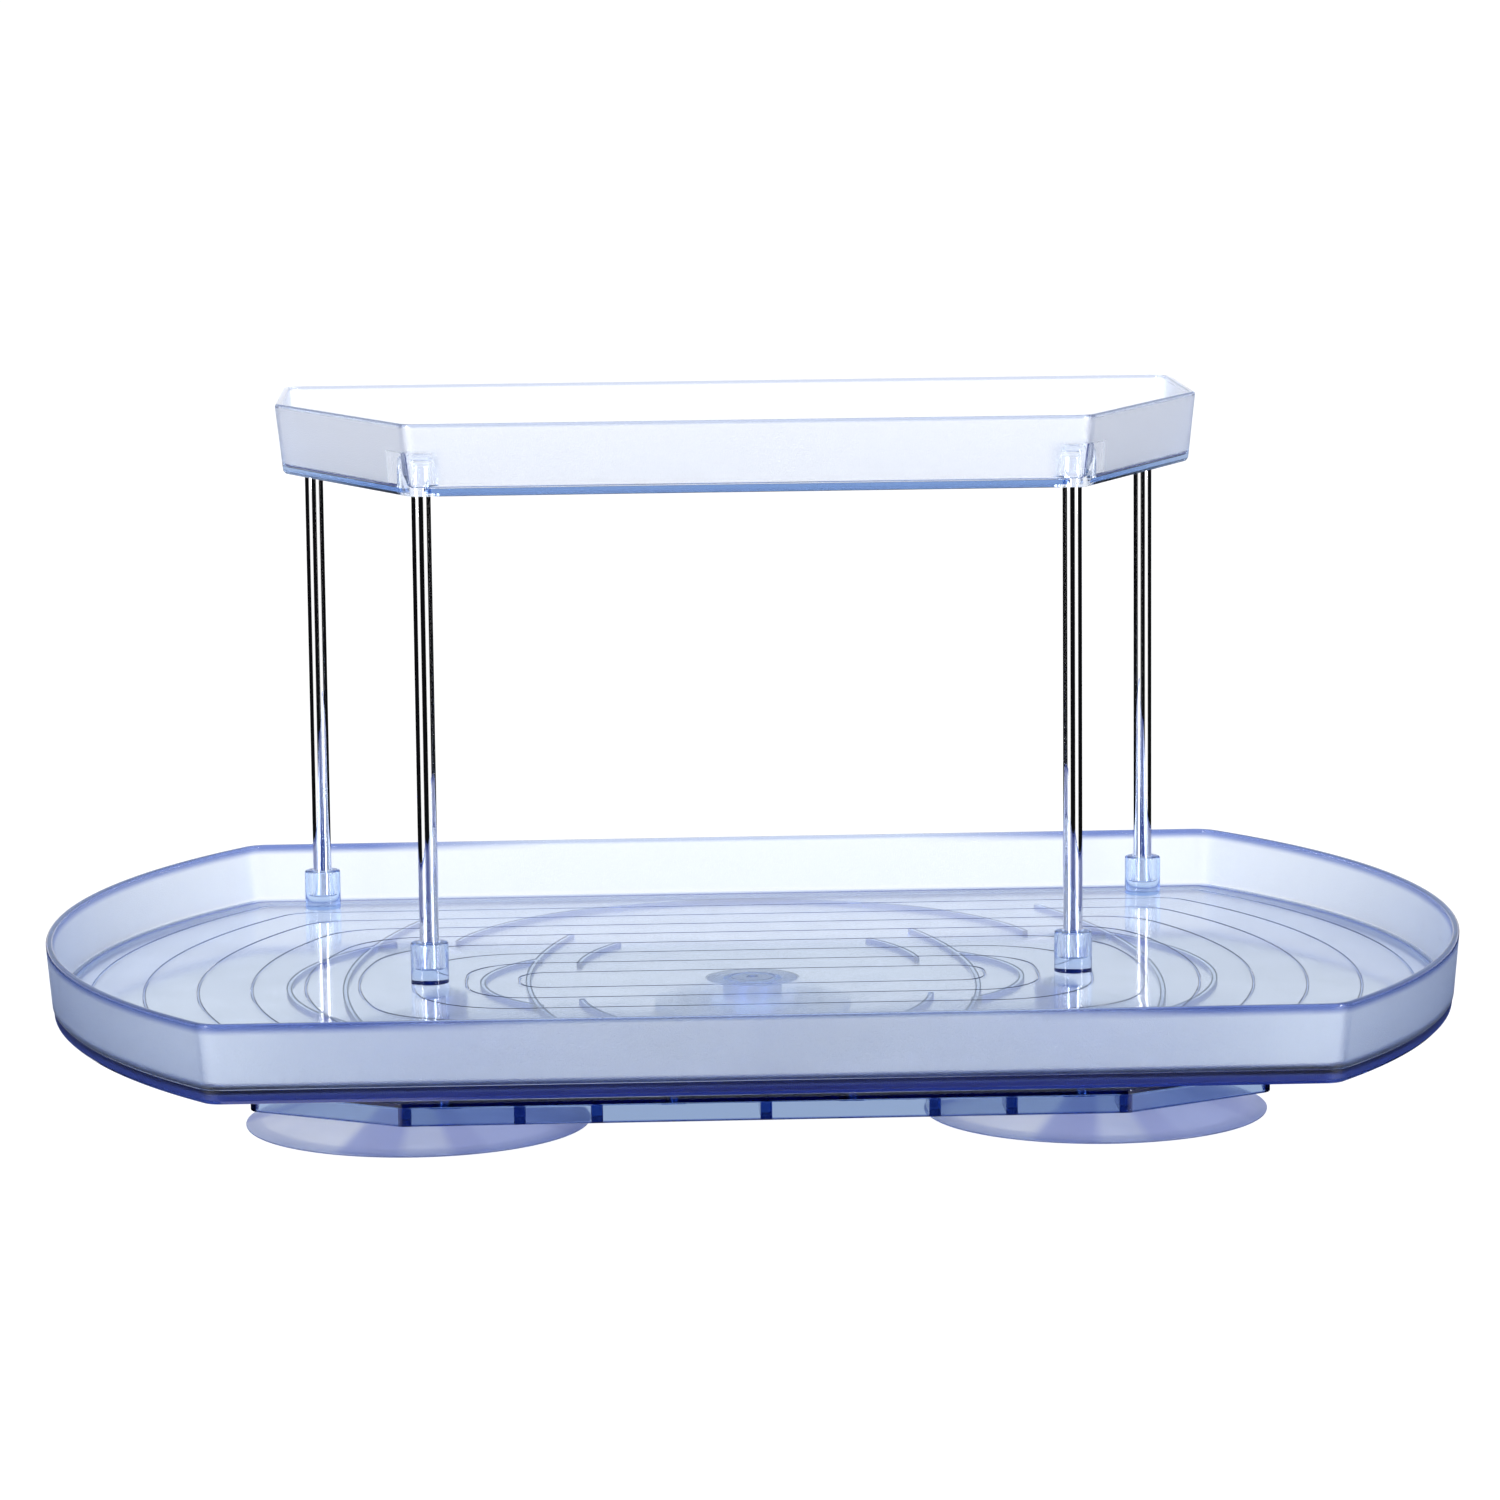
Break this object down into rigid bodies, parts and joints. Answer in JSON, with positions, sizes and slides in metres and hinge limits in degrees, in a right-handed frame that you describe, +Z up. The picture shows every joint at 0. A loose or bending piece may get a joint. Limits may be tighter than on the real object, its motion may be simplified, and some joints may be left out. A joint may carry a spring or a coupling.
{
  "type": "two-tier rectangular turntable",
  "caption": "Clear two-tier turntable: a long tray with bowed ends turns and travels on a suction-cup base, and chromed posts carry a smaller tray above its back half.",
  "frame": {"origin": "on the shelf, at the middle of the lower tray's footprint", "axes": "+X along the tray's length to the right, +Y to the back, where the upper tray stands, +Z up"},
  "size_m": [0.4, 0.29, 0.1945],
  "materials": {
    "clear_tray": "frosted walls, polished floor and edges",
    "clear_base": "clear, polished",
    "soft_clear": "clear soft plastic, glossy",
    "acetal": "smooth moulded",
    "steel": "plain zinc-plated",
    "chromed_post": "polished chrome"
  },
  "bodies": {
    "base": {"base_plate": "clear_base", "suction_cup_left": "soft_clear", "suction_cup_right": "soft_clear", "cup_lock_left": "acetal", "cup_lock_right": "acetal", "slide_rail_left": "clear_base", "slide_rail_right": "clear_base", "rail_screws": "steel", "roller_pins": "steel", "roller_clips": "steel"},
    "carriage": {"carriage": "clear_base", "carriage_bush": "acetal", "thrust_washer": "acetal"},
    "turntable": {"lower_tray": "clear_tray", "pivot_pin": "steel", "retaining_clip": "steel", "post_front_left": "chromed_post", "post_front_right": "chromed_post", "post_back_left": "chromed_post", "post_back_right": "chromed_post", "upper_tray": "clear_tray"},
    "roller_front_left": {"guide_roller_front_left": "acetal"},
    "roller_front_right": {"guide_roller_front_right": "acetal"},
    "roller_back_left": {"guide_roller_back_left": "acetal"},
    "roller_back_right": {"guide_roller_back_right": "acetal"}
  },
  "joints": [
    {"name": "tray_travel", "type": "slide", "parent": "base", "child": "carriage", "axis": [0, -1, 0], "range_m": [0, 0.055]},
    {"name": "tray_turn", "type": "hinge", "parent": "carriage", "child": "turntable", "pos_m": [0, 0, 0.022], "axis": [0, 0, 1], "continuous": true},
    {"name": "front_left_roller_spin", "type": "hinge", "parent": "base", "child": "roller_front_left", "pos_m": [-0.0876, -0.0595, 0.023], "axis": [0, 0, 1], "continuous": true},
    {"name": "front_right_roller_spin", "type": "hinge", "parent": "base", "child": "roller_front_right", "pos_m": [0.0876, -0.0595, 0.023], "axis": [0, 0, 1], "continuous": true},
    {"name": "back_left_roller_spin", "type": "hinge", "parent": "base", "child": "roller_back_left", "pos_m": [-0.0876, 0.0045, 0.023], "axis": [0, 0, 1], "continuous": true},
    {"name": "back_right_roller_spin", "type": "hinge", "parent": "base", "child": "roller_back_right", "pos_m": [0.0876, 0.0045, 0.023], "axis": [0, 0, 1], "continuous": true}
  ]
}
